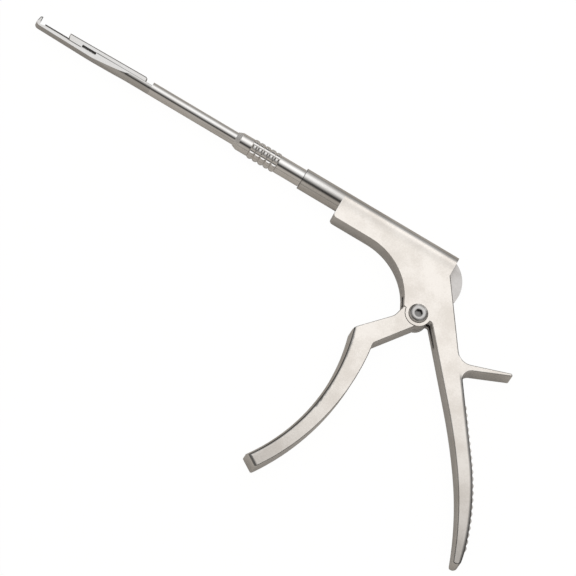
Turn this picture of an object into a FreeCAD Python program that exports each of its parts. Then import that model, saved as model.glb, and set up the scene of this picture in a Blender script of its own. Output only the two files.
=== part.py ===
import FreeCAD, Part
import math
import os

import Sketcher
from FreeCAD import Vector

# Bone rongeur with a turning shaft, lying on its flat side.
# X runs along the shaft towards the rear, Y away from the handles, Z up from the resting side.
# The origin is on the trigger's pivot axis, in the plane of the resting side.

SIZES = {
    # forging: body, barrel and fixed handle
    "forging_thick": 9.7,
    "shaft_rise": 27.7,
    "body_reach": 52.2,
    "barrel_length": 19.2,
    "rear_face_back": 3.4,
    "rear_corner_drop": 4.8,
    "underside_drop": 9.2,
    "arch_crown_reach": 33.7,
    "arch_radius": 28.5,
    "lobe_radius": 5.6,
    "lobe_rear_angle": -11.5,
    "lobe_front_angle": 184.0,
    "grip_toe_fillet": 1.0,
    "spur_top_fillet": 6.4,
    "spur_low_fillet": 3.9,
    "spur_tip_fillet": 0.7,
    "front_corner_fillet": 1.5,
    "rim_round": 0.7,
    "slot_wide": 3.0,
    "slot_top_rise": 2.5,
    "slot_front_reach": 15.4,
    "slot_front_drop": 4.2,
    "slot_outside_back": 16.0,
    # palm ridges
    "ridge_pitch": 3.13,
    "ridge_radius": 1.35,
    "ridge_proud": 0.6,
    "ridge_short": 1.0,
    "ridges_along_line": 7,
    "ridges_along_arc": 14,
    # bores on the shaft axis
    "rod_bore_radius": 3.1,
    "bush_seat_radius": 4.0,
    "bush_length": 12.0,
    "ring_room": 1.6,
    "spigot_bore_radius": 3.5,
    "spigot_room": 3.4,
    # running and seating clearances
    "run_gap": 0.05,
    "seat_gap": 0.02,
    "face_gap": 0.1,
    "slide_gap": 0.08,
    "push_gap": 0.25,
    # pivot
    "screw_head_radius": 4.2,
    "screw_head_high": 1.9,
    "screw_head_sunk": 0.9,
    "screw_crown_radius": 2.6,
    "screw_rim_high": 1.1,
    "screw_crown_round": 2.6,
    "hex_across": 3.0,
    "hex_deep": 1.5,
    "shank_radius": 2.2,
    "screw_thread_radius": 1.7,
    "nut_radius": 3.0,
    "nut_high": 2.6,
    "trigger_bush_wall": 0.7,
    # trigger
    "tongue_thick": 2.8,
    "shoulder_radius": 5.9,
    "shoulder_start_angle": 186.0,
    "shoulder_end_angle": 286.0,
    "tongue_radius": 5.5,
    "nose_radius": 1.7,
    "nose_back": 1.476,
    "nose_over_axis": 0.46,
    "crescent_radius": 13.9,
    "crescent_back": 10.85,
    "crescent_drop": 13.5,
    "arm_front_reach": 2.6,
    "arm_shoulder_drop": 5.2,
    "arm_head_gap": 0.5,
    "arm_top_back": 3.5,
    "arm_top_rise": 1.95,
    "finger_inner_radius": 112.0,
    "finger_outer_radius": 88.5,
    "finger_knee_angle": 15.7,
    "finger_end_angle": -34.0,
    "finger_round": 2.2,
    "finger_inner_fillet": 0.45,
    "inner_knee_fillet": 2.2,
    "outer_knee_fillet": 4.5,
    "horn_fillet": 5.0,
    "finger_end_fillet": 2.2,
    # turning shaft
    "neck_radius": 4.0,
    "neck_length": 12.1,
    "bead_pitch": 2.68,
    "bead_rings": 5,
    "beads_round": 8,
    "bead_crest_radius": 4.45,
    "bead_valley_radius": 3.75,
    "bead_flute_radius": 1.3,
    "bead_flute_lift": 0.12,
    "bead_first_angle": 31.5,
    "collar_length": 5.4,
    "cone_length": 2.1,
    "cone_lip": 0.25,
    "spigot_radius": 3.4,
    "spigot_length": 16.5,
    "ring_groove_radius": 2.9,
    "ring_thick": 0.9,
    "ring_outer_radius": 3.75,
    "ring_opening": 60.0,
    "tube_radius": 2.9,
    "tube_bore_radius": 2.2,
    "tube_shown": 41.9,
    "tube_seated": 16.8,
    "washer_wide": 0.5,
    "thrust_washer_thick": 0.4,
    "friction_ring_back": 6.0,
    "friction_ring_wide": 1.2,
    "friction_ring_thick": 0.8,
    # push rod
    "rod_radius": 1.4,
    "rod_tip_radius": 0.75,
    "rod_tip_back": 14.3,
    "rod_rear_inset": 2.0,
    "head_radius": 3.0,
    "head_length": 9.0,
    "head_pilot_radius": 2.0,
    "head_pilot_length": 2.0,
    "lock_nut_length": 2.0,
    "spring_wire": 0.6,
    "spring_mean_radius": 2.45,
    "spring_turns": 8,
    "washer_thick": 0.6,
    "guide_length": 6.0,
    # jaws, measured from the tube's end
    "jaw_wide": 4.6,
    "jaw_floor": 2.62,
    "tip_floor": 2.08,
    "swell_high": 0.55,
    "round_end": 11.0,
    "taper_end": 28.0,
    "seat_high": 0.4,
    "window_rear": 27.4,
    "window_deep": 1.35,
    "low_seat": 0.1,
    "lip_drop": 0.95,
    "dovetail_top_wide": 3.9,
    "dovetail_foot_wide": 3.0,
    "notch_deep": 1.5,
    "hook_inner": 54.5,
    "hook_outer": 56.1,
    "hook_high": 2.0,
    "hook_tip_drop": 0.35,
    "hook_tip_bend": 0.8,
    "hook_lean": 0.5,
    "heel_high": 0.4,
    "heel_reach": 54.4,
    "jaw_spigot_length": 8.0,
    "rail_neck_wide": 1.6,
    "rail_head_wide": 2.4,
    "rail_head_top": 1.2,
    "rail_head_floor": 1.7,
    "rail_rear": 4.0,
    "rail_front": 38.0,
    "track_front": 52.2,
    "slider_rear": 3.0,
    "slider_top": 2.85,
    "slider_top_fall": 0.55,
    "slider_front": 41.0,
    "slider_front_low": 39.5,
    "slider_nose_back": 0.75,
    "slider_nose_drop": 0.5,
    "slider_block_rear": 34.2,
    "slider_round": 0.8,
    "slider_rear_fillet": 1.3,
    "bite_cup_deep": 0.5,
    "bite_cup_radius": 1.1,
    "bite_cup_floor_radius": 0.4,
    "bite_cup_bend": 0.95,
    "bite_axis_high": 0.55,
    "bite_slope_back": 0.46,
    "blade_thick": 0.9,
    "blade_half_high": 0.7,
    "blade_front": 9.5,
    "jaw_pin_back": 7.0,
    "jaw_pin_radius": 0.4,
}

POINTS = {
    # fixed handle, clockwise after the rear corner
    "spur_root_top": (25.7, -9.4),
    "spur_tip_top": (47.2, -1.7),
    "spur_tip_low": (48.5, -2.8),
    "spur_root_low": (28.1, -12.1),
    "palm_bend": (50.0, -43.8),
    "heel_top": (67.4, -81.0),
    "heel_low": (68.6, -86.6),
    "grip_toe": (65.5, -88.9),
    "grip_front_bend": (46.9, -51.4),
    "grip_front_top": (30.0, -28.7),
    "crotch_rear": (7.3, -1.2),
    "stop_ledge": (-6.9, 0.0),
    "arch_foot": (-8.8, 3.9),
    # slot, clockwise from the arch
    "slot_arch": (-9.2, 4.6),
    "slot_outside_front": (-12.5, 1.0),
    "slot_outside_low": (-12.5, -12.0),
    "slot_grip_end": (13.9, -8.4),
    "slot_rear_low": (8.9, -0.6),
    "slot_rear_high": (11.6, 11.6),
    # trigger lever and arm
    "arm_front_low": (-5.0, 2.2),
    "arm_rear_low": (5.2, 1.5),
    "horn_tip": (-6.9, -0.65),
    "finger_inner_knee": (-10.1, -22.0),
    "finger_end_inner": (-27.2, -98.0),
    "finger_outer_centre": (-106.4, -44.7),
    "horn_foot": (-8.3, -6.1),
}

doc = FreeCAD.newDocument("BoneRongeur")
sheet = doc.addObject("Spreadsheet::Sheet", "Sizes")


class Size:
    """A number together with the sheet formula that gives it."""

    def __init__(self, number, formula=None):
        self.number = float(number)
        self.formula = formula if formula is not None else "(%r)" % float(number)

    def __add__(self, other):
        other = as_size(other)
        return Size(self.number + other.number, "(%s + %s)" % (self.formula, other.formula))

    def __sub__(self, other):
        other = as_size(other)
        return Size(self.number - other.number, "(%s - %s)" % (self.formula, other.formula))

    def __mul__(self, other):
        other = as_size(other)
        return Size(self.number * other.number, "(%s * %s)" % (self.formula, other.formula))

    def __truediv__(self, other):
        other = as_size(other)
        return Size(self.number / other.number, "(%s / %s)" % (self.formula, other.formula))

    def __neg__(self):
        return Size(-self.number, "(0 - %s)" % self.formula)

    def __radd__(self, other):
        return as_size(other) + self

    def __rsub__(self, other):
        return as_size(other) - self

    def __rmul__(self, other):
        return as_size(other) * self


def as_size(value):
    return value if isinstance(value, Size) else Size(value)


def cosine(angle):
    return Size(math.cos(math.radians(angle.number)), "cos(%s)" % angle.formula)


def sine(angle):
    return Size(math.sin(math.radians(angle.number)), "sin(%s)" % angle.formula)


def root(value):
    return Size(math.sqrt(value.number), "sqrt(%s)" % value.formula)


class Table:
    """The sheet's cells, each one read as an attribute."""

    def __init__(self):
        self.row = 0

    def add(self, word, number):
        self.row += 1
        sheet.set("A%d" % self.row, word)
        sheet.set("B%d" % self.row, repr(number))
        sheet.setAlias("B%d" % self.row, word)
        setattr(self, word, Size(number, "Sizes.%s" % word))


cell = Table()
for size_word, size_number in SIZES.items():
    cell.add(size_word, size_number)
for point_word, (point_x, point_y) in POINTS.items():
    cell.add(point_word + "_x", point_x)
    cell.add(point_word + "_y", point_y)
doc.recompute()


def point(word):
    return getattr(cell, word + "_x"), getattr(cell, word + "_y")


def on_circle(radius, angle):
    return radius * cosine(angle), radius * sine(angle)


def bind(thing, path, size):
    thing.setExpression(path, as_size(size).formula)


# Places on the shaft line, measured from the pivot axis
mid_height = cell.forging_thick / 2
barrel_front = -(cell.body_reach + cell.barrel_length)
knob_length = cell.neck_length + cell.bead_pitch * cell.bead_rings + cell.collar_length + cell.cone_length
tube_end = barrel_front - knob_length - cell.tube_shown
nose_front = cell.nose_back - cell.nose_radius
head_rear = nose_front - cell.push_gap


def new_body(name, x=0, y=0, z=0):
    body = doc.addObject("PartDesign::Body", name)
    body.Label = name
    for axis, size in (("x", x), ("y", y), ("z", z)):
        bind(body, "Placement.Base." + axis, size)
    return body


def shaft_body(name, x):
    """A body whose own X axis is the shaft axis."""
    return new_body(name, x, cell.shaft_rise, mid_height)


def plane_of(body, role):
    for feature in body.Origin.OriginFeatures:
        if feature.Role == role:
            return feature
    raise ValueError("no plane " + role)


def new_sketch(body, name, role="XY_Plane", height=None, rise=None, across=None):
    """A sketch in one of the body's planes, moved along its normal, its own Y and its own X."""
    sketch = body.newObject("Sketcher::SketchObject", name)
    sketch.AttachmentSupport = [(plane_of(body, role), "")]
    sketch.MapMode = "FlatFace"
    for axis, size in (("x", across), ("y", rise), ("z", height)):
        if size is not None:
            bind(sketch, "AttachmentOffset.Base." + axis, size)
    return sketch


def arc_between(start, end, bend):
    """The short arc from start to end; a positive bend turns left, a negative one right."""
    radius = abs(bend)
    chord = end - start
    lift = math.sqrt(radius * radius - chord.Length * chord.Length / 4)
    side = Vector(-chord.y, chord.x, 0).normalize()
    centre = (start + end) / 2 + side * math.copysign(lift, bend)
    first, last = (start, end) if bend > 0 else (end, start)
    angles = [math.atan2(p.y - centre.y, p.x - centre.x) for p in (first, last)]
    return Part.ArcOfCircle(Part.Circle(centre, Vector(0, 0, 1), radius), angles[0], angles[1])


def heading(start, end, bend, at_end):
    """The direction of travel in degrees at either end of a line or arc."""
    chord = end - start
    angle = math.atan2(chord.y, chord.x)
    if bend is None:
        return angle
    half = math.asin(chord.Length / 2 / bend)
    return angle + (half if at_end else -half)


def smooth_bend(start, end, angle, at_end):
    """The bend of an arc whose direction at one end is given."""
    chord = end - start
    turned = angle - math.atan2(chord.y, chord.x)
    return chord.Length / 2 / math.sin(turned if at_end else -turned)


def outline(sketch, corners):
    """A closed outline. A corner is (x, y) and a line leads on from it, or (x, y, bend) and an arc does.
    In place of the bend, "after" makes the arc tangent to the piece before it, "into" to the next one."""
    places = [Vector(as_size(corner[0]).number, as_size(corner[1]).number, 0) for corner in corners]
    count = len(corners)
    kinds = [corner[2] if len(corner) == 3 else None for corner in corners]
    bends = [None if kind is None or isinstance(kind, str) else as_size(kind).number for kind in kinds]
    for i in range(count):
        if kinds[i] == "after":
            angle = heading(places[i - 1], places[i], bends[i - 1], True)
            bends[i] = smooth_bend(places[i], places[(i + 1) % count], angle, False)
    for i in reversed(range(count)):
        if kinds[i] == "into":
            following = (i + 1) % count
            angle = heading(places[following], places[(i + 2) % count], bends[following], False)
            bends[i] = smooth_bend(places[i], places[following], angle, True)
    first = sketch.GeometryCount
    shapes = []
    ends = []
    for i in range(count):
        following = places[(i + 1) % count]
        if bends[i] is not None:
            shapes.append(arc_between(places[i], following, bends[i]))
            ends.append((1, 2) if bends[i] > 0 else (2, 1))
        else:
            shapes.append(Part.LineSegment(places[i], following))
            ends.append((1, 2))
    sketch.addGeometry(shapes, False)
    for i, corner in enumerate(corners):
        here = first + i
        following = (i + 1) % count
        smooth = kinds[i] == "into" or kinds[following] == "after"
        sketch.addConstraint(Sketcher.Constraint("Tangent" if smooth else "Coincident", here, ends[i][1],
                                                 first + following, ends[following][0]))
        for kind, size in (("DistanceX", as_size(corner[0])), ("DistanceY", as_size(corner[1]))):
            place = sketch.addConstraint(Sketcher.Constraint(kind, -1, 1, here, ends[i][0], size.number))
            bind(sketch, "Constraints[%d]" % place, size)
        if bends[i] is not None and not isinstance(kinds[i], str):
            bend = as_size(kinds[i]) if bends[i] > 0 else -as_size(kinds[i])
            radius = sketch.addConstraint(Sketcher.Constraint("Radius", here, bend.number))
            bind(sketch, "Constraints[%d]" % radius, bend)


def box_outline(sketch, low_x, low_y, high_x, high_y):
    outline(sketch, [(low_x, low_y), (high_x, low_y), (high_x, high_y), (low_x, high_y)])


def circle(sketch, x, y, radius):
    x, y, radius = as_size(x), as_size(y), as_size(radius)
    here = sketch.addGeometry(
        Part.Circle(Vector(x.number, y.number, 0), Vector(0, 0, 1), radius.number), False)
    for kind, size in (("DistanceX", x), ("DistanceY", y)):
        place = sketch.addConstraint(Sketcher.Constraint(kind, -1, 1, here, 3, size.number))
        bind(sketch, "Constraints[%d]" % place, size)
    width = sketch.addConstraint(Sketcher.Constraint("Radius", here, radius.number))
    bind(sketch, "Constraints[%d]" % width, radius)


def feature(body, kind, name, sketch):
    made = body.newObject("PartDesign::" + kind, name)
    made.Profile = sketch
    sketch.Visibility = False
    return made


def pad(body, sketch, name, length, centred=False, reverse=False):
    made = feature(body, "Pad", name, sketch)
    bind(made, "Length", length)
    made.SideType = "Symmetric" if centred else "One side"
    made.Reversed = reverse
    return made


def pocket(body, sketch, name, depth, centred=False, reverse=False):
    made = feature(body, "Pocket", name, sketch)
    bind(made, "Length", depth)
    made.SideType = "Symmetric" if centred else "One side"
    made.Reversed = reverse
    return made


def turn(body, sketch, name, cut=False, axis="H_Axis"):
    """Turns a sketch about its own horizontal or vertical axis."""
    made = feature(body, "Groove" if cut else "Revolution", name, sketch)
    made.ReferenceAxis = (sketch, [axis])
    return made


def spin_copies(body, original, sketch, name, count, angle=None):
    """Copies of a feature about the normal through its sketch's own centre."""
    made = body.newObject("PartDesign::PolarPattern", name)
    made.Originals = [original]
    made.Axis = (sketch, ["N_Axis"])
    bind(made, "Occurrences", count)
    if angle is not None:
        bind(made, "Angle", angle)
    body.Tip = made
    return made


def turned_part(name, x, profile):
    """A round piece on the shaft line from its half profile of (x, radius) corners."""
    body = shaft_body(name, x)
    sketch = new_sketch(body, name + "_profile")
    outline(sketch, profile)
    turn(body, sketch, name + "_turned")
    return body


def round_edges(body, name, size, picks, kind="Fillet"):
    """Fillets or chamfers the edges that the test picks on the body's latest shape."""
    doc.recompute()
    base = body.Tip
    names = ["Edge%d" % (i + 1) for i, edge in enumerate(base.Shape.Edges) if picks(edge)]
    if not names:
        raise ValueError(name + " finds no edge")
    made = body.newObject("PartDesign::" + kind, name)
    made.Base = (base, names)
    bind(made, "Radius" if kind == "Fillet" else "Size", size)
    doc.recompute()
    return made


def upright_edge_at(place):
    """Picks the edge along Z that passes through a place of the side view."""
    x, y = [as_size(size).number for size in place]

    def picks(edge):
        box = edge.BoundBox
        upright = box.ZLength > 1 and box.XLength < 0.01 and box.YLength < 0.01
        return upright and abs(box.XMin - x) < 0.05 and abs(box.YMin - y) < 0.05
    return picks


def rim_edge_in(regions):
    """Picks edges that lie in one of the two flat sides and have their middle in a region."""
    thick = cell.forging_thick.number

    def picks(edge):
        box = edge.BoundBox
        flat = box.ZLength < 0.001 and (abs(box.ZMin) < 0.001 or abs(box.ZMin - thick) < 0.001)
        middle = edge.valueAt((edge.FirstParameter + edge.LastParameter) / 2)
        return flat and any(low_x < middle.x < high_x and low_y < middle.y < high_y
                            for low_x, low_y, high_x, high_y in regions)
    return picks


def upper_edge_at(z):
    """Picks the long upper edges of the slider at either side, z or -z."""
    z = as_size(z).number

    def picks(edge):
        box = edge.BoundBox
        return (box.XLength > 5 and box.YMin > 1
                and abs(abs(box.ZMin) - z) < 0.01 and abs(abs(box.ZMax) - z) < 0.01)
    return picks


def cross_edge_at(x, y):
    """Picks the edges along Z that pass through a place of a jaw's side view."""
    x, y = as_size(x).number, as_size(y).number

    def picks(edge):
        box = edge.BoundBox
        return box.ZLength > 1 and abs(box.XMin - x) + abs(box.XMax - x) + abs(box.YMin - y) < 0.03
    return picks


def palm_ridges(body):
    """Cross ridges on the palm side: along its straight stretch, then round its arc."""
    sketch = new_sketch(body, "ridge_circles", height=mid_height)
    inset = cell.ridge_radius - cell.ridge_proud
    bend_x, bend_y = point("palm_bend")
    root_x, root_y = point("spur_root_low")
    heel_x, heel_y = point("heel_top")
    run_x, run_y = bend_x - root_x, bend_y - root_y
    run = root(run_x * run_x + run_y * run_y)
    along_x, along_y = run_x / run, run_y / run
    for k in range(1, int(cell.ridges_along_line.number) + 1):
        back = cell.ridge_pitch * k
        circle(sketch, bend_x - along_x * back + along_y * inset,
               bend_y - along_y * back - along_x * inset, cell.ridge_radius)
    chord_x, chord_y = heel_x - bend_x, heel_y - bend_y
    palm_radius = (chord_x * chord_x + chord_y * chord_y) / (along_y * chord_x - along_x * chord_y) / 2
    centre_x = bend_x + along_y * palm_radius
    centre_y = bend_y - along_x * palm_radius
    for k in range(int(cell.ridges_along_arc.number)):
        swing = cell.ridge_pitch / palm_radius * k * (180 / math.pi)
        reach = palm_radius - inset
        circle(sketch, centre_x - (along_y * cosine(swing) - along_x * sine(swing)) * reach,
               centre_y + (along_x * cosine(swing) + along_y * sine(swing)) * reach, cell.ridge_radius)
    pad(body, sketch, "palm_ridges", cell.forging_thick - cell.ridge_short * 2, centred=True)


def fixed_handle():
    body = new_body("fixed_handle")
    axis_y = cell.shaft_rise
    underside = axis_y - cell.underside_drop
    side = new_sketch(body, "handle_outline")
    outline(side, [
        (-cell.body_reach, axis_y),
        (cell.rear_face_back, axis_y),
        (cell.rear_face_back, axis_y - cell.rear_corner_drop),
        point("spur_root_top"),
        point("spur_tip_top"),
        point("spur_tip_low"),
        point("spur_root_low"),
        point("palm_bend") + ("after",),
        point("heel_top") + ("after",),
        point("heel_low") + ("after",),
        point("grip_toe") + ("into",),
        point("grip_front_bend") + ("into",),
        point("grip_front_top"),
        point("crotch_rear") + ("after",),
        on_circle(cell.lobe_radius, cell.lobe_rear_angle) + (-cell.lobe_radius,),
        on_circle(cell.lobe_radius, cell.lobe_front_angle),
        point("stop_ledge"),
        point("arch_foot") + (cell.arch_radius,),
        (-cell.arch_crown_reach, underside),
        (-cell.body_reach, underside),
    ])
    pad(body, side, "handle_plate", cell.forging_thick)

    # rounded corners of the side view
    for word, size in (("spur_root_top", cell.spur_top_fillet), ("spur_root_low", cell.spur_low_fillet),
                       ("spur_tip_top", cell.spur_tip_fillet), ("spur_tip_low", cell.spur_tip_fillet),
                       ("grip_toe", cell.grip_toe_fillet)):
        round_edges(body, word + "_round", size, upright_edge_at(point(word)))
    round_edges(body, "front_corner_round", cell.front_corner_fillet,
                upright_edge_at((-cell.body_reach, underside)))

    # rims of the spur and grip on both sides; the ears round the pivot stay crisp
    round_edges(body, "grip_rims", cell.rim_round, rim_edge_in([(8, -100, 80, 20)]))
    palm_ridges(body)

    # round top of the body, running on as the barrel
    barrel = new_sketch(body, "barrel_circle", "YZ_Plane", barrel_front)
    circle(barrel, axis_y, mid_height, mid_height)
    pad(body, barrel, "barrel", cell.barrel_length + cell.body_reach + cell.rear_face_back)

    # stepped bore on the shaft axis
    bore = new_sketch(body, "bore_profile", height=mid_height, rise=axis_y)
    bush_end = barrel_front + cell.bush_length + cell.ring_room
    spigot_end = bush_end + cell.spigot_room
    outline(bore, [
        (barrel_front - 1, 0),
        (cell.rear_face_back + 1, 0),
        (cell.rear_face_back + 1, cell.rod_bore_radius),
        (spigot_end, cell.rod_bore_radius),
        (spigot_end, cell.spigot_bore_radius),
        (bush_end, cell.spigot_bore_radius),
        (bush_end, cell.bush_seat_radius),
        (barrel_front - 1, cell.bush_seat_radius),
    ])
    turn(body, bore, "bore", cut=True)

    # slot that the trigger's tongue and arm swing in
    slot = new_sketch(body, "slot_outline", height=mid_height)
    outline(slot, [
        (-cell.slot_front_reach, axis_y + cell.slot_top_rise),
        (-cell.slot_front_reach, axis_y - cell.slot_front_drop),
        point("slot_arch"),
        point("slot_outside_front"),
        point("slot_outside_low"),
        point("slot_grip_end"),
        point("slot_rear_low"),
        point("slot_rear_high"),
        (cell.slot_outside_back, axis_y - cell.crescent_drop + 2),
        (cell.slot_outside_back, axis_y + cell.slot_top_rise),
    ])
    pocket(body, slot, "slot", cell.slot_wide, centred=True)

    # pivot: counterbore for the head, shank hole, seat of the nut
    head_seat = new_sketch(body, "head_seat_circle", height=cell.forging_thick)
    circle(head_seat, 0, 0, cell.screw_head_radius + cell.face_gap)
    pocket(body, head_seat, "head_seat", cell.screw_head_sunk)
    shank_hole = new_sketch(body, "shank_hole_circle", height=cell.forging_thick)
    circle(shank_hole, 0, 0, cell.shank_radius + cell.seat_gap)
    pocket(body, shank_hole, "shank_hole", cell.forging_thick + 1)
    nut_seat = new_sketch(body, "nut_seat_circle")
    circle(nut_seat, 0, 0, cell.nut_radius + cell.seat_gap)
    pocket(body, nut_seat, "nut_seat", cell.nut_high, reverse=True)
    return body


def pivot_screw():
    body = new_body("pivot_screw")
    profile = new_sketch(body, "screw_profile", "XZ_Plane")
    seat = cell.forging_thick - cell.screw_head_sunk
    head_top = seat + cell.screw_head_high
    rim = seat + cell.screw_rim_high
    outline(profile, [
        (0, 0),
        (cell.screw_thread_radius, 0),
        (cell.screw_thread_radius, cell.nut_high + cell.seat_gap),
        (cell.shank_radius, cell.nut_high + cell.seat_gap),
        (cell.shank_radius, seat),
        (cell.screw_head_radius, seat),
        (cell.screw_head_radius, rim, cell.screw_crown_round),
        (cell.screw_crown_radius, head_top),
        (0, head_top),
    ])
    turn(body, profile, "screw_turned", axis="V_Axis")
    socket = new_sketch(body, "hex_outline", height=head_top)
    across_corners = cell.hex_across / 1.7320508
    outline(socket, [on_circle(across_corners, Size(60 * k + 15)) for k in range(6)])
    pocket(body, socket, "hex_socket", cell.hex_deep)
    return body


def pivot_nut():
    body = new_body("pivot_nut")
    profile = new_sketch(body, "nut_profile", "XZ_Plane")
    box_outline(profile, cell.screw_thread_radius + cell.seat_gap, 0, cell.nut_radius, cell.nut_high)
    turn(body, profile, "nut_turned", axis="V_Axis")
    return body


def trigger():
    body = new_body("trigger")
    lever = new_sketch(body, "lever_outline")
    centre_x, centre_y = point("finger_outer_centre")
    end_x, end_y = on_circle(cell.finger_outer_radius, cell.finger_end_angle)
    knee_x, knee_y = on_circle(cell.finger_outer_radius, cell.finger_knee_angle)
    outer_end = (centre_x + end_x, centre_y + end_y)
    outer_knee = (centre_x + knee_x, centre_y + knee_y)
    outline(lever, [
        point("horn_tip"),
        on_circle(cell.shoulder_radius, cell.shoulder_start_angle) + (cell.shoulder_radius,),
        on_circle(cell.shoulder_radius, cell.shoulder_end_angle),
        point("finger_inner_knee") + (-cell.finger_inner_radius,),
        point("finger_end_inner"),
        outer_end + (cell.finger_outer_radius,),
        outer_knee,
        point("horn_foot"),
    ])
    pad(body, lever, "lever", cell.forging_thick)
    round_edges(body, "inner_knee_round", cell.inner_knee_fillet, upright_edge_at(point("finger_inner_knee")))
    round_edges(body, "horn_round", cell.horn_fillet, upright_edge_at(point("horn_foot")))
    round_edges(body, "outer_knee_round", cell.outer_knee_fillet, upright_edge_at(outer_knee))

    # rounded rims: at the finger's end, along its inner side, and widest along its outer side
    inner_end = point("finger_end_inner")
    middle = [(a + b).number / 2 for a, b in zip(inner_end, outer_end)]
    round_edges(body, "finger_end_round", cell.finger_end_fillet,
                rim_edge_in([(middle[0] - 0.5, middle[1] - 0.5, middle[0] + 0.5, middle[1] + 0.5)]))
    round_edges(body, "finger_inner_round", cell.finger_inner_fillet,
                rim_edge_in([(inner_end[0].number + 0.5, -90, inner_end[0].number + 30, -30)]))
    rim = new_sketch(body, "finger_rim_profile", "XZ_Plane", height=-centre_y, across=centre_x)
    wall = cell.finger_outer_radius
    size = cell.finger_round
    top = cell.forging_thick
    outline(rim, [(wall - 1, top - size), (wall, top - size, -size), (wall + size, top),
                  (wall + size, top + 1), (wall - 1, top + 1)])
    outline(rim, [(wall - 1, -1), (wall + size, -1), (wall + size, 0, -size), (wall, size), (wall - 1, size)])
    turn(body, rim, "finger_rims", cut=True, axis="V_Axis")

    # thin tongue and arm in the middle plane
    tongue = new_sketch(body, "tongue_circle", height=mid_height)
    circle(tongue, 0, 0, cell.tongue_radius)
    pad(body, tongue, "tongue", cell.tongue_thick, centred=True)
    web = new_sketch(body, "web_outline", height=mid_height)
    reach = cell.shoulder_radius + 0.8
    outline(web, [
        (0, 0),
        on_circle(reach, cell.shoulder_start_angle + 6) + (reach,),
        on_circle(reach, cell.shoulder_end_angle - 6),
    ])
    pad(body, web, "web", cell.tongue_thick, centred=True)
    arm = new_sketch(body, "arm_outline", height=mid_height)
    nose_y = cell.shaft_rise + cell.nose_over_axis
    outline(arm, [
        point("arm_front_low"),
        (-cell.arm_front_reach, cell.shaft_rise - cell.arm_shoulder_drop),
        (nose_front, cell.shaft_rise - cell.head_radius - cell.arm_head_gap),
        (nose_front, nose_y, -cell.nose_radius),
        (cell.nose_back, nose_y + cell.nose_radius),
        (cell.arm_top_back, cell.shaft_rise + cell.arm_top_rise, -cell.crescent_radius),
        (cell.crescent_back, cell.shaft_rise - cell.crescent_drop),
        point("arm_rear_low"),
    ])
    pad(body, arm, "arm", cell.tongue_thick, centred=True)
    hole = new_sketch(body, "bush_hole_circle", height=mid_height)
    circle(hole, 0, 0, cell.shank_radius + cell.run_gap + cell.trigger_bush_wall + cell.seat_gap)
    pocket(body, hole, "bush_hole", cell.tongue_thick + 1, centred=True)
    return body


def trigger_bush():
    body = new_body("trigger_bush")
    profile = new_sketch(body, "bush_profile", "XZ_Plane", rise=mid_height)
    inner = cell.shank_radius + cell.run_gap
    box_outline(profile, inner, -cell.tongue_thick / 2, inner + cell.trigger_bush_wall, cell.tongue_thick / 2)
    turn(body, profile, "bush_turned", axis="V_Axis")
    return body


def barrel_bush():
    inner = cell.spigot_radius + cell.run_gap
    outer = cell.bush_seat_radius - cell.seat_gap
    return turned_part("barrel_bush", barrel_front, [
        (0, inner), (cell.bush_length, inner), (cell.bush_length, outer), (0, outer)])


def rotation_sleeve():
    rod_room = cell.rod_radius + cell.face_gap
    tube_room = cell.tube_radius + cell.seat_gap
    tube_stop = cell.tube_seated + cell.seat_gap - knob_length
    groove_front = cell.bush_length + cell.thrust_washer_thick + cell.face_gap
    groove_rear = groove_front + cell.ring_thick + cell.face_gap
    ring_floor = cell.spigot_radius + cell.run_gap - cell.friction_ring_thick
    friction_front = cell.friction_ring_back - cell.friction_ring_wide / 2 - cell.seat_gap
    friction_rear = cell.friction_ring_back + cell.friction_ring_wide / 2 + cell.seat_gap
    profile = [
        (cell.spigot_length, rod_room),
        (cell.spigot_length, cell.spigot_radius),
        (groove_rear, cell.spigot_radius),
        (groove_rear, cell.ring_groove_radius),
        (groove_front, cell.ring_groove_radius),
        (groove_front, cell.spigot_radius),
        (friction_rear, cell.spigot_radius),
        (friction_rear, ring_floor - cell.seat_gap * 2),
        (friction_front, ring_floor - cell.seat_gap * 2),
        (friction_front, cell.spigot_radius),
        (-cell.face_gap, cell.spigot_radius),
        (-cell.face_gap, cell.neck_radius),
        (-cell.neck_length, cell.neck_radius),
    ]
    swell = cell.bead_crest_radius - cell.bead_valley_radius
    half = cell.bead_pitch / 2
    ring_bend = (half * half + swell * swell) / (swell * 2)
    rings = int(cell.bead_rings.number)
    for k in range(rings):
        profile.append((-cell.neck_length - cell.bead_pitch * k, cell.bead_valley_radius, ring_bend))
    grip_front = -cell.neck_length - cell.bead_pitch * cell.bead_rings
    profile += [
        (grip_front, cell.bead_valley_radius),
        (grip_front, cell.neck_radius),
        (grip_front - cell.collar_length, cell.neck_radius),
        (-knob_length, tube_room + cell.cone_lip),
        (-knob_length, tube_room),
        (tube_stop, tube_room),
        (tube_stop, rod_room),
    ]
    body = turned_part("rotation_sleeve", barrel_front, profile)

    # lengthwise flutes part the rings into beads
    flute = new_sketch(body, "flute_circle", "YZ_Plane", grip_front)
    flute_axis = cell.bead_valley_radius + cell.bead_flute_lift + cell.bead_flute_radius
    centre = on_circle(flute_axis, cell.bead_first_angle)
    circle(flute, centre[0], centre[1], cell.bead_flute_radius)
    cut = pocket(body, flute, "flute", cell.bead_pitch * cell.bead_rings, reverse=True)
    spin_copies(body, cut, flute, "flutes", cell.beads_round)
    return body


def friction_ring():
    outer = cell.spigot_radius + cell.run_gap - cell.seat_gap
    inner = outer - cell.friction_ring_thick
    start = cell.friction_ring_back - cell.friction_ring_wide / 2
    end = cell.friction_ring_back + cell.friction_ring_wide / 2
    return turned_part("friction_ring", barrel_front, [(start, inner), (end, inner), (end, outer), (start, outer)])


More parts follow.
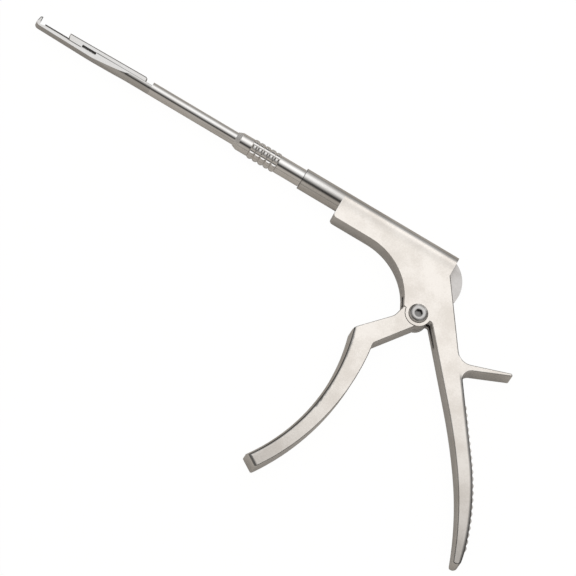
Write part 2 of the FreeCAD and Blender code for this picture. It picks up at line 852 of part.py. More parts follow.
def thrust_washer():
    inner = cell.spigot_radius + cell.run_gap
    start = cell.bush_length + cell.seat_gap
    end = start + cell.thrust_washer_thick
    return turned_part("thrust_washer", barrel_front, [
        (start, inner), (end, inner), (end, inner + cell.washer_wide), (start, inner + cell.washer_wide)])


def retaining_ring():
    start = cell.bush_length + cell.thrust_washer_thick + cell.face_gap + cell.seat_gap * 2
    end = start + cell.ring_thick
    inner = cell.ring_groove_radius + cell.run_gap
    body = turned_part("retaining_ring", barrel_front, [
        (start, inner), (end, inner), (end, cell.ring_outer_radius), (start, cell.ring_outer_radius)])
    bind(body.getObject("retaining_ring_turned"), "Angle", 360 - cell.ring_opening)
    return body


def outer_tube():
    return turned_part("outer_tube", tube_end, [
        (0, cell.tube_bore_radius),
        (cell.tube_shown + cell.tube_seated, cell.tube_bore_radius),
        (cell.tube_shown + cell.tube_seated, cell.tube_radius),
        (0, cell.tube_radius),
    ])


def rod_guide():
    inner = cell.rod_radius + cell.face_gap
    outer = cell.tube_bore_radius - cell.seat_gap
    start = cell.tube_shown + cell.tube_seated - cell.guide_length
    end = start + cell.guide_length
    return turned_part("rod_guide", tube_end, [(start, inner), (end, inner), (end, outer), (start, outer)])


def lower_jaw():
    body = shaft_body("lower_jaw", tube_end)
    half_wide = cell.jaw_wide / 2

    radius = cell.tube_radius
    swollen = radius + cell.swell_high
    clear = swollen + 1
    tip = -cell.hook_outer

    # round root that swells towards the tip
    core = new_sketch(body, "jaw_core_profile")
    outline(core, [(0, 0), (0, radius), (-cell.round_end, radius), (-cell.taper_end, swollen),
                   (tip, swollen), (tip, 0)])
    turn(body, core, "jaw_core")
    spigot = new_sketch(body, "jaw_spigot_circle", "YZ_Plane")
    circle(spigot, 0, 0, cell.tube_bore_radius - cell.seat_gap)
    pad(body, spigot, "jaw_spigot", cell.jaw_spigot_length)

    # flat sides that slope into the round root
    flats = new_sketch(body, "jaw_flats", "XZ_Plane")
    for way in (1, -1):
        outline(flats, [(-cell.round_end, radius * way), (-cell.taper_end, half_wide * way),
                        (tip - 1, half_wide * way), (tip - 1, clear * way), (-cell.round_end, clear * way)])
    pocket(body, flats, "jaw_flats_cut", clear * 2, centred=True)

    # side view: seats of the slider, window, footplate with its rounded heel, sloping underside
    side = new_sketch(body, "jaw_side")
    box_outline(side, tip - 1, -clear, cell.jaw_spigot_length + 1, clear)
    outline(side, [
        (cell.jaw_spigot_length + 0.5, -clear + 0.5),
        (cell.jaw_spigot_length + 0.5, clear - 0.5),
        (0, clear - 0.5),
        (0, cell.seat_high),
        (-cell.window_rear, cell.seat_high),
        (-cell.window_rear, -cell.window_deep),
        (-cell.slider_block_rear, -cell.window_deep),
        (-cell.slider_block_rear, -cell.low_seat),
        (-cell.track_front, -cell.low_seat),
        (-cell.track_front, -cell.lip_drop),
        (-cell.hook_inner, -cell.notch_deep),
        (-cell.hook_inner, cell.hook_high, cell.hook_tip_bend),
        (-cell.hook_outer + cell.hook_lean, cell.hook_high - cell.hook_tip_drop),
        (-cell.hook_outer, -cell.heel_high, "into"),
        (-cell.heel_reach, -cell.tip_floor),
        (-cell.taper_end, -cell.jaw_floor),
        (-cell.round_end, -radius),
        (-cell.round_end, -clear + 0.5),
    ])
    pocket(body, side, "jaw_side_cut", clear * 2, centred=True)

    # dovetail sides under the low seat, and the lips beside it
    undercut = new_sketch(body, "undercut_section", "YZ_Plane", -cell.track_front)
    for way in (1, -1):
        outline(undercut, [(-cell.lip_drop, cell.dovetail_foot_wide / 2 * way),
                           (-cell.lip_drop, clear * way),
                           (-cell.low_seat + 0.01, clear * way),
                           (-cell.low_seat + 0.01, cell.dovetail_top_wide / 2 * way)])
    pocket(body, undercut, "undercuts", cell.track_front - cell.slider_block_rear, reverse=True)

    # track for the slider's rail, and the rod's passage through the spigot
    gap = cell.slide_gap
    neck = cell.rail_neck_wide / 2 + gap
    head = cell.rail_head_wide / 2 + gap
    floor = -cell.rail_head_floor - gap
    ledge = -cell.rail_head_top + gap
    track = new_sketch(body, "track_section", "YZ_Plane")
    outline(track, [(floor, -head), (ledge, -head), (ledge, -neck), (clear, -neck),
                    (clear, neck), (ledge, neck), (ledge, head), (floor, head)])
    pocket(body, track, "track", cell.track_front)
    passage = new_sketch(body, "rod_passage_circle", "YZ_Plane", cell.jaw_spigot_length)
    circle(passage, 0, 0, cell.rod_radius + cell.face_gap)
    pocket(body, passage, "rod_passage", cell.jaw_spigot_length)
    bite_cup(body, -cell.hook_inner, -1)
    return body


def bite_cup(body, face, way):
    """A shallow dish in a biting face; it deepens towards -X or +X."""
    cup = new_sketch(body, "bite_cup_profile", rise=cell.bite_axis_high)
    deep = cell.bite_cup_deep
    wide = cell.bite_cup_radius
    outline(cup, [
        (face + deep * way, 0),
        (face + deep * way, cell.bite_cup_floor_radius, cell.bite_cup_bend * way),
        (face, wide),
        (face - way, wide),
        (face - way, 0),
    ])
    turn(body, cup, "bite_cup", cut=True)


def upper_jaw():
    body = shaft_body("upper_jaw", tube_end)
    half_wide = cell.jaw_wide / 2
    sole = cell.seat_high + cell.slide_gap
    gap = cell.slide_gap
    cheek_low = -cell.lip_drop + gap
    side = new_sketch(body, "slider_outline")
    outline(side, [
        (-cell.slider_rear, cell.slider_top),
        (-cell.slider_rear, sole),
        (-cell.slider_block_rear, sole),
        (-cell.slider_block_rear, cheek_low),
        (-cell.slider_front_low, cheek_low),
        (-cell.slider_front + cell.slider_nose_back, -cell.slider_nose_drop),
        (-cell.slider_front, cell.slider_top - cell.slider_top_fall),
    ])
    pad(body, side, "slider", cell.jaw_wide, centred=True)
    round_edges(body, "slider_rear_round", cell.slider_rear_fillet,
                cross_edge_at(-cell.slider_rear, cell.slider_top))
    round_edges(body, "slider_top_rounds", cell.slider_round, upper_edge_at(half_wide))

    # the block's cheeks clasp the dovetail
    dovetail = new_sketch(body, "dovetail_section", "YZ_Plane", -cell.slider_front - 1)
    foot = cell.dovetail_foot_wide / 2 + gap
    crest = cell.dovetail_top_wide / 2 + gap * 2
    outline(dovetail, [(-cell.lip_drop, -foot), (-cell.low_seat + gap, -crest),
                       (-cell.low_seat + gap, crest), (-cell.lip_drop, foot)])
    pocket(body, dovetail, "dovetail", cell.slider_front + 1 - cell.slider_block_rear, reverse=True)

    # rail that runs in the bar's track
    neck = cell.rail_neck_wide / 2
    head = cell.rail_head_wide / 2
    rail = new_sketch(body, "rail_section", "YZ_Plane", -cell.rail_front)
    outline(rail, [(-cell.rail_head_floor, -head), (-cell.rail_head_top, -head), (-cell.rail_head_top, -neck),
                   (sole, -neck), (sole, neck), (-cell.rail_head_top, neck), (-cell.rail_head_top, head),
                   (-cell.rail_head_floor, head)])
    pad(body, rail, "rail", cell.rail_front - cell.rail_rear)

    # mortise for the rod's blade, and the hole of its pin
    mortise = new_sketch(body, "mortise_section", "YZ_Plane", -cell.slider_rear)
    half_high = cell.blade_half_high + cell.face_gap
    half_thick = cell.blade_thick / 2 + cell.seat_gap
    box_outline(mortise, -half_high, -half_thick, half_high, half_thick)
    pocket(body, mortise, "mortise", cell.blade_front + cell.face_gap - cell.slider_rear)
    pin_hole(body, cell.rail_neck_wide + 1)
    bite_cup(body, -cell.slider_front + cell.bite_slope_back, 1)
    return body


def pin_hole(body, length):
    hole = new_sketch(body, "pin_hole_circle")
    circle(hole, -cell.jaw_pin_back, 0, cell.jaw_pin_radius + cell.seat_gap)
    pocket(body, hole, "pin_hole", length, centred=True)


def jaw_pin():
    body = shaft_body("jaw_pin", tube_end)
    pin = new_sketch(body, "jaw_pin_circle")
    circle(pin, -cell.jaw_pin_back, 0, cell.jaw_pin_radius)
    pad(body, pin, "pin", cell.rail_neck_wide, centred=True)
    return body


def push_rod():
    rod_rear = head_rear - cell.rod_rear_inset - cell.seat_gap - tube_end
    body = turned_part("push_rod", tube_end, [
        (-cell.slider_rear + cell.face_gap * 2, 0),
        (rod_rear, 0),
        (rod_rear, cell.rod_radius),
        (cell.rod_tip_back, cell.rod_radius),
        (cell.rod_tip_back - cell.face_gap * 5, cell.rod_tip_radius),
        (-cell.slider_rear + cell.face_gap * 2, cell.rod_tip_radius),
    ])
    blade = new_sketch(body, "blade_section", "YZ_Plane", -cell.blade_front)
    half_thick = cell.blade_thick / 2
    box_outline(blade, -cell.blade_half_high, -half_thick, cell.blade_half_high, half_thick)
    pad(body, blade, "blade", cell.blade_front)
    pin_hole(body, cell.rail_neck_wide + 1)
    return body


def rod_head():
    hole = cell.rod_radius + cell.seat_gap
    pilot_front = -cell.head_length - cell.head_pilot_length
    return turned_part("rod_head", head_rear, [
        (pilot_front, hole),
        (-cell.rod_rear_inset, hole),
        (-cell.rod_rear_inset, 0),
        (0, 0),
        (0, cell.head_radius),
        (-cell.head_length, cell.head_radius),
        (-cell.head_length, cell.head_pilot_radius),
        (pilot_front, cell.head_pilot_radius),
    ])


def lock_nut():
    rear = -cell.head_length - cell.head_pilot_length - cell.seat_gap
    front = rear - cell.lock_nut_length
    inner = cell.rod_radius + cell.seat_gap
    return turned_part("lock_nut", head_rear, [
        (front, inner), (rear, inner), (rear, cell.head_pilot_radius), (front, cell.head_pilot_radius)])


def spring_washer():
    inner = cell.rod_radius + cell.face_gap
    outer = cell.rod_bore_radius - cell.face_gap
    start = cell.spigot_length + cell.seat_gap
    end = start + cell.washer_thick
    return turned_part("spring_washer", barrel_front, [(start, inner), (end, inner), (end, outer), (start, outer)])


def return_spring():
    half_wire = cell.spring_wire / 2
    start = barrel_front + cell.spigot_length + cell.washer_thick + cell.seat_gap * 2 + half_wire
    end = head_rear - cell.head_length - cell.seat_gap - half_wire
    body = shaft_body("return_spring", start)
    wire = new_sketch(body, "wire_section")
    box_outline(wire, -half_wire, cell.spring_mean_radius - half_wire,
                half_wire, cell.spring_mean_radius + half_wire)
    coil = feature(body, "AdditiveHelix", "coil", wire)
    coil.ReferenceAxis = (wire, ["H_Axis"])
    coil.Mode = "height-turns-angle"
    bind(coil, "Height", end - start)
    bind(coil, "Turns", cell.spring_turns)
    return body


makers = [fixed_handle, pivot_screw, pivot_nut, barrel_bush, trigger, trigger_bush, rotation_sleeve,
          friction_ring, thrust_washer, retaining_ring, outer_tube, rod_guide, lower_jaw, spring_washer,
          upper_jaw, jaw_pin, push_rod, rod_head, lock_nut, return_spring]
pieces = [make() for make in makers]
doc.recompute()
for thing in doc.Objects:
    if "Invalid" in thing.State or "Error" in thing.State:
        raise RuntimeError(thing.Name + " did not build: " + str(thing.State))
os.makedirs("parts", exist_ok=True)
for piece in pieces:
    shape = piece.Shape
    if shape.isNull() or not shape.isValid():
        raise RuntimeError(piece.Label + " has no valid shape")
    print(piece.Label, round(shape.Volume, 2), len(shape.Solids), shape.BoundBox)
    shape.exportStep("parts/%s.step" % piece.Label)
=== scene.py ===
import math

import bpy
from mathutils import Matrix, Vector

# Bone rongeur on its flat side, on white. The CAD pieces stay as they are and get their finishes here.

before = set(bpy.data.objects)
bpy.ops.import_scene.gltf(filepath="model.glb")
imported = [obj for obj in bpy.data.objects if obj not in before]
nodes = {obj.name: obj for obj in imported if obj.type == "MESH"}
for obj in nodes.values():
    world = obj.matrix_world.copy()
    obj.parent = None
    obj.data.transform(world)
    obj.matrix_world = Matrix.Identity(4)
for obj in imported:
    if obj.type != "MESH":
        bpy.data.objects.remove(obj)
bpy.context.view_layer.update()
bpy.ops.object.select_all(action="DESELECT")


class Value:
    """A socket of a finish's node tree; sums and products of values add Math nodes."""

    def __init__(self, finish, socket):
        self.finish = finish
        self.socket = socket

    def math(self, operation, *others):
        given = dict(enumerate((self,) + others))
        return self.finish.node("ShaderNodeMath", {"operation": operation}, given)

    def __add__(self, other):
        return self.math("ADD", other)

    def __sub__(self, other):
        return self.math("SUBTRACT", other)

    def __mul__(self, other):
        return self.math("MULTIPLY", other)

    def __truediv__(self, other):
        return self.math("DIVIDE", other)

    def __rsub__(self, other):
        return self * -1 + other

    __radd__ = __add__
    __rmul__ = __mul__

    def size(self):
        return self.math("ABSOLUTE")

    def at_most(self, limit):
        return self.math("MINIMUM", limit)

    def between(self, low, high):
        """0 at low and 1 at high, smooth in between and level beyond; low may be the greater one."""
        return self.finish.node(
            "ShaderNodeMapRange", {"interpolation_type": "SMOOTHSTEP"},
            {"Value": self, "From Min": low, "From Max": high})

    def near(self, middle, widths):
        """A line at middle: 0 beyond the greater width and 1 within the smaller one."""
        return (self - middle).size().between(*widths)


class Finish:
    """A node-based material, or the room's nodes."""

    def __init__(self, owner):
        owner.use_nodes = True
        self.owner = owner
        self.tree = owner.node_tree
        self.tree.nodes.clear()

    def node(self, kind, settings=None, inputs=None, output=0):
        made = self.tree.nodes.new(kind)
        for name, setting in (settings or {}).items():
            setattr(made, name, setting)
        for name, given in (inputs or {}).items():
            if isinstance(given, Value):
                self.tree.links.new(given.socket, made.inputs[name])
            else:
                made.inputs[name].default_value = given
        return Value(self, made.outputs[output])

    def place(self):
        return self.node("ShaderNodeTexCoord", output="Object")

    def noise(self, place, scale, detail=2.0):
        return self.node("ShaderNodeTexNoise", None, {"Vector": place, "Scale": scale, "Detail": detail})

    def stretched(self, factors, turn=0.0):
        return self.node("ShaderNodeMapping", None,
                         {"Vector": self.place(), "Rotation": (0, 0, turn), "Scale": factors})

    def mix(self, factor, first, second, blend="MIX"):
        return self.node("ShaderNodeMix", {"data_type": "RGBA", "blend_type": blend},
                         {0: factor, 6: first, 7: second}, output=2)

    def ramp(self, factor, bands):
        """Colours at places from 0 to 1; the first two given are the ends."""
        made = self.node("ShaderNodeValToRGB", None, {0: factor})
        stops = made.socket.node.color_ramp.elements
        for k, (at, colour) in enumerate(bands):
            stop = stops[k] if k < 2 else stops.new(at)
            stop.position = at
            stop.color = colour
        return made

    def bump(self, height, strength, distance):
        return self.node("ShaderNodeBump", None,
                         {"Height": height, "Strength": strength, "Distance": distance})

    def vector(self, operation, *given, output=0):
        return self.node("ShaderNodeVectorMath", {"operation": operation}, dict(enumerate(given)), output)

    def part(self, vector, axis):
        return self.node("ShaderNodeSeparateXYZ", None, {0: vector}, output=axis)

    def normal_part(self, axis):
        return self.part(self.node("ShaderNodeTexCoord", output="Normal"), axis)

    def from_upright(self, place, centre):
        """The distance from the upright line through centre."""
        away = self.vector("SUBTRACT", place, centre)
        return self.vector("LENGTH", self.vector("MULTIPLY", away, (1, 1, 0)), output=1)

    def ray(self, kind):
        return self.node("ShaderNodeLightPath", output=kind)

    def steel(self, colour, roughness, relief):
        return self.finished(self.node("ShaderNodeBsdfPrincipled", None, {
            "Base Color": colour, "Metallic": 1.0, "Roughness": roughness, "Normal": relief}))

    def finished(self, shader, target="ShaderNodeOutputMaterial"):
        end = self.tree.nodes.new(target)
        self.tree.links.new(shader.socket, end.inputs["Surface"])
        return self.owner


def tint(level, warmth=0.0):
    """A grey with a little warmth, as a colour."""
    return (level * (1 + warmth), level, level * (1 - warmth * 1.2), 1.0)


def new_finish(name):
    return Finish(bpy.data.materials.new(name))


# Axes
X, Y, Z = 0, 1, 2

# Forgings, in metres: the flats' inner steps, the barrel's free end, and the blend from flat to barrel;
# painted shade falls on the inner steps, the blend and the barrel's mouth
MID_HEIGHT = 0.00485
STEP_DEPTH = (0.0036, 0.0042)
BARREL_FREE = (-0.0522, -0.0518)
BARREL_MOUTH = (-0.0709, -0.0712)
BLEND_LOW = (0.023, 0.0264)
BLEND_HIGH = (0.0267, 0.0278)
FLAT_SLOPE = (0.95, 0.99)

# Palm side: a straight stretch from the spur, then an arc from the bend to the heel
PALM_START = (0.0281, -0.0121)
PALM_OUTWARD = (0.8228, 0.5684)
PALM_BEND = (-0.0437, -0.0439)
PALM_CENTRE = (-0.0516, -0.114, 0.0)
PALM_RADIUS = 0.1235
PALM_RIM_IN = (0.0016, 0.0008)
PALM_RIM_OUT = (-0.0002, 0.0001)
PALM_RIM_TOP = (-0.0132, -0.016)

# Satin and polished steel of the forgings, with painted shade: a shaded satin for the inner steps, a shade
# for the blend, cut edges darker partly from polish and partly as painted shade, and a dark line of painted
# shade
SATIN = (0.83, 0.785, 0.735, 1.0)
SATIN_IN_PAINTED_SHADE = (0.56, 0.54, 0.525, 1.0)
BLEND_PAINTED_SHADE = tint(0.35, 0.03)
EDGE_POLISH_AND_SHADE = tint(0.62, 0.02)
PAINTED_SHADE_LINE = tint(0.1)
MOTTLE_DARK = tint(0.81, 0.01)
MOTTLE_LIGHT = tint(0.99, -0.005)
BRUSHING = (60, 3000, 900)

# Pivot screw's head, where shade is painted by the distance from its axis: socket, face, the face's edge and
# the rim
PIVOT = (0, 0, 0)
SOCKET_WALL = (0.0021, 0.0017)
FACE_EDGE = 0.0033
FACE_WALL = (0.0033, 0.0031)
FACE_LINE = (0.0003, 0.0001)
HEAD_RIM = (0.0039, 0.0041)

# Jaws, where shade is painted: seams under the slider, footplate's two edges and the slider's crest, which
# falls to the front
REAR_SEAM_Y = 0.02814
REAR_SEAM_END = (-0.1738, -0.1732)
FRONT_SEAM_Y = 0.02679
FRONT_SEAM_END = (-0.1804, -0.181)
SLIDER_FRONT = (-0.1874, -0.1872)
SEAM_LINE = (0.0003, 0.0001)
FOOT_INNER_X = -0.2008
FOOT_OUTER_X = -0.2024
FOOT_BASE_Y = 0.0273
FOOT_LEAN = 0.244
FOOT_LINE = (0.0005, 0.0002)
FOOT_LOW = (0.0272, 0.0277)
FOOT_REAR = (-0.2, -0.2002)
JAW_FLAT_SLOPE = (0.8, 0.95)
CREST_FALL = 0.0145
CREST = (0.0319, 0.0322)
CREST_REAR = (-0.149, -0.1494)
DARKEST = 0.85

# Sleeve's cone
CONE_REAR = (-0.1021, -0.1024)


def palm_edge_painted_shade(finish, place):
    """Painted shade along the round edge of the palm side: beside its straight stretch, then round its arc.
    """
    along, across = finish.part(place, X), finish.part(place, Y)
    straight = (PALM_START[X] - along) * PALM_OUTWARD[X] + (PALM_START[Y] - across) * PALM_OUTWARD[Y]
    arc = PALM_RADIUS - finish.from_upright(place, PALM_CENTRE)
    inside = straight + (arc - straight) * across.between(*PALM_BEND)
    band = inside.between(*PALM_RIM_IN) * inside.between(*PALM_RIM_OUT)
    return band * across.between(*PALM_RIM_TOP) * 0.8


def pivot_painted_shade(finish, place):
    """Painted shade in the hex socket, on the plain face and its edge line, and at the head's rim."""
    from_axis = finish.from_upright(place, PIVOT)
    socket = from_axis.between(*SOCKET_WALL) * 0.5
    face = from_axis.between(*FACE_WALL) * 0.3
    line = from_axis.near(FACE_EDGE, FACE_LINE) * 0.3
    rim = from_axis.between(*HEAD_RIM) * 0.6
    return (socket + face + line + rim).at_most(DARKEST)


def jaw_painted_shade(finish, place):
    """Painted shade on the slider's crest, and on the flat sides along the seams under the slider and the
    footplate's edges.
    """
    along, across = finish.part(place, X), finish.part(place, Y)
    rear = across.near(REAR_SEAM_Y, SEAM_LINE) * along.between(*REAR_SEAM_END)
    front = across.near(FRONT_SEAM_Y, SEAM_LINE) * along.between(*FRONT_SEAM_END)
    seams = (rear + front) * along.between(*SLIDER_FRONT)
    inner = along.near(FOOT_INNER_X, FOOT_LINE)
    outer = (along - (across - FOOT_BASE_Y) * FOOT_LEAN).near(FOOT_OUTER_X, FOOT_LINE)
    foot = (inner + outer) * across.between(*FOOT_LOW) * along.between(*FOOT_REAR)
    marks = (seams + foot) * finish.normal_part(Z).size().between(*JAW_FLAT_SLOPE)
    crest = (across - along * CREST_FALL).between(*CREST) * along.between(*CREST_REAR)
    return (marks * DARKEST + crest * 0.6).at_most(DARKEST)


def cone_matt(finish, place):
    """The sleeve's cone, left matt from turning."""
    return finish.part(place, X).between(*CONE_REAR)


def satin_steel(name, grain_turn, dark=None):
    """Bead-blasted and brushed flat sides; round parts and the cut edges are polished, and darker partly
    from that polish and partly as painted shade; painted shade also darkens the inner steps, the blend to
    the barrel and the barrel's mouth.
    """
    finish = new_finish(name)
    place = finish.place()
    along, across = finish.part(place, X), finish.part(place, Y)
    # Painted shade on the flats' inner steps, away from the middle height
    outside = (finish.part(place, Z) - MID_HEIGHT).size().between(*STEP_DEPTH)
    # Cut edges and the barrel's round front: polished, and darker partly from that polish and partly as
    # painted shade
    side = finish.normal_part(Z).size().between(*FLAT_SLOPE) * along.between(*BARREL_FREE)
    lines = finish.noise(finish.stretched(BRUSHING, grain_turn), 1.0, 3.0)
    blasting = finish.noise(place, 5200.0)
    cloud = finish.noise(place, 90.0, 3.0)
    speckle = finish.noise(place, 1700.0, 1.0)
    # Painted shade in the blend from flat to barrel
    blend = across.between(*BLEND_LOW) - across.between(*BLEND_HIGH)
    flat = finish.mix(blend * 0.2, finish.mix(outside, SATIN_IN_PAINTED_SHADE, SATIN), BLEND_PAINTED_SHADE)
    # Painted shade: a dark band at the barrel's mouth
    level = finish.mix(along.between(*BARREL_MOUTH) * 0.7, finish.mix(side, EDGE_POLISH_AND_SHADE, flat), PAINTED_SHADE_LINE)
    # Painted shade from the given mask, such as the palm's rim
    if dark:
        level = finish.mix(dark(finish, place), level, PAINTED_SHADE_LINE)
    uneven = lines * 0.15 + cloud * 0.65 + speckle * 0.2
    shade = finish.mix(uneven.between(0.36, 0.64), MOTTLE_DARK, MOTTLE_LIGHT)
    colour = finish.mix(1.0, level, shade, "MULTIPLY")
    roughness = side * 0.24 + 0.13 + (lines - 0.5) * 0.1 + (cloud - 0.5) * 0.06
    return finish.steel(colour, roughness, finish.bump(lines * 0.6 + blasting * 0.4, 0.12, 0.00006))


def polished_steel(name, level, roughness, dark=None, matt=None):
    """Turned and polished steel with faint rings and handling marks."""
    finish = new_finish(name)
    place = finish.place()
    rings = finish.noise(finish.stretched((4200, 40, 40)), 1.0)
    cloud = finish.noise(place, 120.0, 3.0)
    colour = finish.mix(cloud.between(0.3, 0.7), tint(level * 0.94, 0.02), tint(level, 0.01))
    # Painted shade from the given mask, darkening the colour towards near black
    if dark:
        colour = finish.mix(dark(finish, place), colour, tint(0.06, 0.02))
    if matt:
        roughness = matt(finish, place) * 0.4 + roughness
    uneven = (cloud - 0.5) * 0.1 + (rings - 0.5) * 0.06 + roughness
    return finish.steel(colour, uneven, finish.bump(rings, 0.08, 0.00002))


def bearing_bronze(name):
    finish = new_finish(name)
    stain = finish.noise(finish.place(), 400.0, 3.0)
    colour = finish.mix(stain, (0.62, 0.44, 0.24, 1), (0.74, 0.57, 0.34, 1))
    return finish.steel(colour, stain * 0.15 + 0.25, finish.bump(stain, 0.1, 0.00003))


def plain_rubber(name):
    finish = new_finish(name)
    grain = finish.noise(finish.place(), 3000.0)
    shader = finish.node("ShaderNodeBsdfPrincipled", None, {
        "Base Color": finish.mix(grain, tint(0.03), tint(0.05)), "Roughness": grain * 0.1 + 0.5,
        "Normal": finish.bump(grain, 0.2, 0.00005)})
    return finish.finished(shader)


FINISHES = {
    satin_steel("satin_forging", 0.0, dark=palm_edge_painted_shade): ["fixed_handle"],
    satin_steel("satin_trigger", 1.35): ["trigger"],
    polished_steel("pivot_steel", 0.66, 0.3, dark=pivot_painted_shade): ["pivot_screw", "pivot_nut"],
    polished_steel("polished_sleeve", 0.7, 0.12, matt=cone_matt): ["rotation_sleeve"],
    polished_steel("polished_shaft", 0.66, 0.16): ["outer_tube"],
    polished_steel("polished_jaw", 0.52, 0.18, dark=jaw_painted_shade): ["lower_jaw", "upper_jaw"],
    polished_steel("inner_steel", 0.5, 0.3): [
        "push_rod", "rod_head", "lock_nut", "jaw_pin", "retaining_ring", "thrust_washer", "spring_washer"],
    polished_steel("spring_steel", 0.4, 0.3): ["return_spring"],
    bearing_bronze("bush_bronze"): ["trigger_bush", "barrel_bush", "rod_guide"],
    plain_rubber("seal_rubber"): ["friction_ring"],
}
for material, names in FINISHES.items():
    for name in names:
        for slot in nodes[name].material_slots:
            slot.material = material

# Camera at the photograph's angle: nearly over the flat side, a little from below the handles
AIM = Vector((-0.0530, -0.0185, 0.00485))
TO_CAMERA = Vector((-0.0106, -0.361, 0.932)).normalized()
PICTURE_RIGHT = Vector((0.8598, 0.4733, 0.1931))
VIEW_WIDTH = 0.244
LENS = 900.0
SENSOR = 36.0

camera = bpy.data.objects.new("camera", bpy.data.cameras.new("camera"))
bpy.context.scene.collection.objects.link(camera)
camera.data.lens = LENS
camera.data.sensor_width = SENSOR
camera.data.clip_start = 0.01
camera.data.clip_end = 100.0
rightward = (PICTURE_RIGHT - TO_CAMERA * PICTURE_RIGHT.dot(TO_CAMERA)).normalized()
upward = TO_CAMERA.cross(rightward)
turn = Matrix((rightward, upward, TO_CAMERA)).transposed().to_4x4()
distance = VIEW_WIDTH * LENS / SENSOR
camera.matrix_world = Matrix.Translation(AIM + TO_CAMERA * distance) @ turn
bpy.context.scene.camera = camera

# Studio: degrees from +Y over the top, level, warmth; the two ends come first
STUDIO_BANDS = (
    (0, 0.34, 0.02), (180, 0.52, 0.07), (12, 0.44, 0.02), (30, 0.74, 0.02), (43, 1.2, 0.01), (52, 1.5, 0.0),
    (69, 1.48, 0.0), (80, 1.1, 0.01), (91, 0.68, 0.01), (101, 0.3, 0.02), (109, 0.08, 0.04),
    (122, 0.07, 0.04), (129, 0.3, 0.06), (137, 0.54, 0.07),
)
STUDIO_TOP = 1.5
STUDIO_PEAK = 61
STUDIO_SIDES = 98
STUDIO_REACH = 1.6
STUDIO_STEPS = 32
ASIDE = (0.15, 0.5)
LOW_DOWN = (0.7, 0.5)

# Grey sheet over the handles, seen only in mirrors, that paints shade on them: tenths of a metre towards
# their ends, level; the two ends come first
GEL_BANDS = ((0.0, 1.0), (1.0, 0.4), (0.21, 0.94), (0.41, 0.84), (0.57, 0.74), (0.68, 0.6), (0.76, 0.45))
GEL_HEIGHT = 0.032
GEL_SIDE = 0.12
GEL_END = -0.13
GEL_TRIGGER_X = (0.03, 0.01)
GEL_TRIGGER_SHIFT = 0.02

FLOOR_HEIGHT = -0.0001
FLOOR_SIDE = 6


def stage_piece(name, corners, material):
    mesh = bpy.data.meshes.new(name)
    mesh.from_pydata(corners, [], [tuple(range(k, k + 4)) for k in range(0, len(corners), 4)])
    piece = bpy.data.objects.new(name, mesh)
    bpy.context.scene.collection.objects.link(piece)
    mesh.materials.append(material)
    return piece


def sheet(side, low, high, height):
    return [(-side, low, height), (side, low, height), (side, high, height), (-side, high, height)]


def half_ball(reach, steps):
    corners = []
    for k in range(steps):
        for n in range(steps):
            for up, side in ((k, n), (k, n + 1), (k + 1, n + 1), (k + 1, n)):
                turned, lean = math.pi * up / steps, math.pi * (side / steps - 0.5)
                corners.append((reach * math.sin(lean), reach * math.cos(lean) * math.cos(turned),
                                reach * math.cos(lean) * math.sin(turned)))
    return corners


def only_mirrored(card):
    card.visible_camera = False
    card.visible_diffuse = False
    card.visible_shadow = False


def floor_paper():
    """White paper: lit for real, plain white where it is looked at and a little whiter in mirrors."""
    finish = new_finish("floor_paper")
    fibre = finish.noise(finish.place(), 900.0, 3.0)
    paper = finish.node("ShaderNodeBsdfDiffuse", None, {
        "Color": finish.mix(fibre, tint(0.49, 0.1), tint(0.51, 0.1))})
    white = finish.node("ShaderNodeEmission", None, {"Color": tint(1.0), "Strength": 1.04})
    seen, mirrored = finish.ray("Is Camera Ray"), finish.ray("Is Glossy Ray")
    through = finish.ray("Is Transmission Ray")
    share = (seen * 0.94 + mirrored * 0.1 + through * 0.94).at_most(1.0)
    return finish.finished(finish.node("ShaderNodeMixShader", None, {0: share, 1: paper, 2: white}))


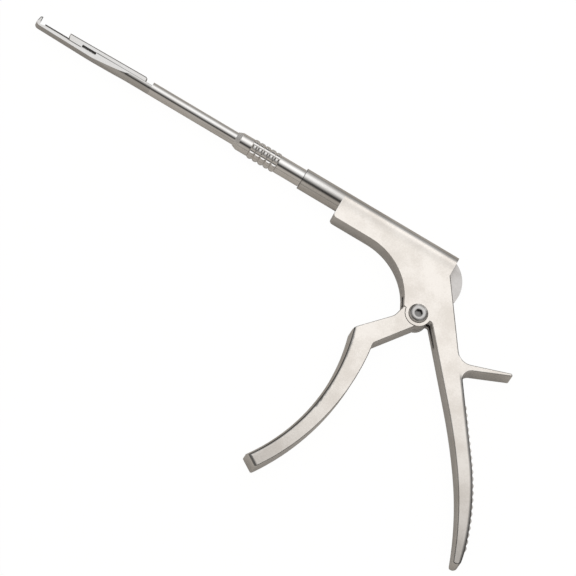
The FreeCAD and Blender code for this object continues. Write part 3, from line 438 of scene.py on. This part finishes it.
def studio_wall():
    """Soft bright and dark bands round the shaft, by the angle from +Y over the top."""
    finish = new_finish("studio_wall")
    way = finish.vector("NORMALIZE", finish.place())
    angle = finish.part(way, Z).math("ARCTAN2", finish.part(way, Y)) / math.pi
    peak = math.radians(STUDIO_PEAK)
    peak_way = (0, math.cos(peak), math.sin(peak))
    off_peak = finish.vector("DOT_PRODUCT", way, peak_way, output=1).math("ARCCOSINE") / math.pi
    aside = finish.part(way, X).size().between(*ASIDE)
    low = finish.part(way, Z).between(*LOW_DOWN)
    leaning = (off_peak + STUDIO_PEAK / 180).at_most(low + STUDIO_SIDES / 180)
    at = angle + (leaning - angle) * aside
    bands = finish.ramp(at, [(degrees / 180, tint(level / STUDIO_TOP, warmth))
                             for degrees, level, warmth in STUDIO_BANDS])
    return finish.finished(finish.node("ShaderNodeEmission", None, {"Color": bands, "Strength": STUDIO_TOP}))


def handle_shade_gel():
    """Painted shade on the handles, seen only in mirrors: clear over the body, a little darker over the
    handles' ends.
    """
    finish = new_finish("handle_shade_gel")
    place = finish.place()
    reach = finish.part(place, Y) + finish.part(place, X).between(*GEL_TRIGGER_X) * GEL_TRIGGER_SHIFT
    bands = finish.ramp(reach * -10, [(at, tint(level)) for at, level in GEL_BANDS])
    return finish.finished(finish.node("ShaderNodeBsdfTransparent", None, {"Color": bands}))


stage_piece("floor", sheet(FLOOR_SIDE, -FLOOR_SIDE, FLOOR_SIDE, FLOOR_HEIGHT), floor_paper())
only_mirrored(stage_piece("dome", half_ball(STUDIO_REACH, STUDIO_STEPS), studio_wall()))
only_mirrored(stage_piece("gel", sheet(GEL_SIDE, GEL_END, 0.0, GEL_HEIGHT), handle_shade_gel()))

# Soft light from above, and a plain white room
LAMP_SIZE = (1.6, 1.4)
LAMP_POWER = 7.0
LAMP_PLACE = (-0.05, 0.25, 1.3)
LAMP_LEAN = -10
ROOM_LIT = 0.55

lamp = bpy.data.objects.new("softbox", bpy.data.lights.new("softbox", "AREA"))
bpy.context.scene.collection.objects.link(lamp)
lamp.data.shape = "RECTANGLE"
lamp.data.size, lamp.data.size_y = LAMP_SIZE
lamp.data.energy = LAMP_POWER
lamp.location = LAMP_PLACE
lamp.rotation_euler = (math.radians(LAMP_LEAN), 0, 0)
lamp.visible_camera = False
lamp.visible_glossy = False

room = bpy.data.worlds.new("room")
bpy.context.scene.world = room
walls = Finish(room)
shown = walls.ray("Is Camera Ray") + walls.ray("Is Glossy Ray") + walls.ray("Is Transmission Ray")
white = walls.node("ShaderNodeBackground", None, {
    "Color": tint(1.0), "Strength": shown.at_most(1.0) * (1 - ROOM_LIT) + ROOM_LIT})
walls.finished(white, "ShaderNodeOutputWorld")

bpy.context.scene.view_settings.view_transform = "Standard"
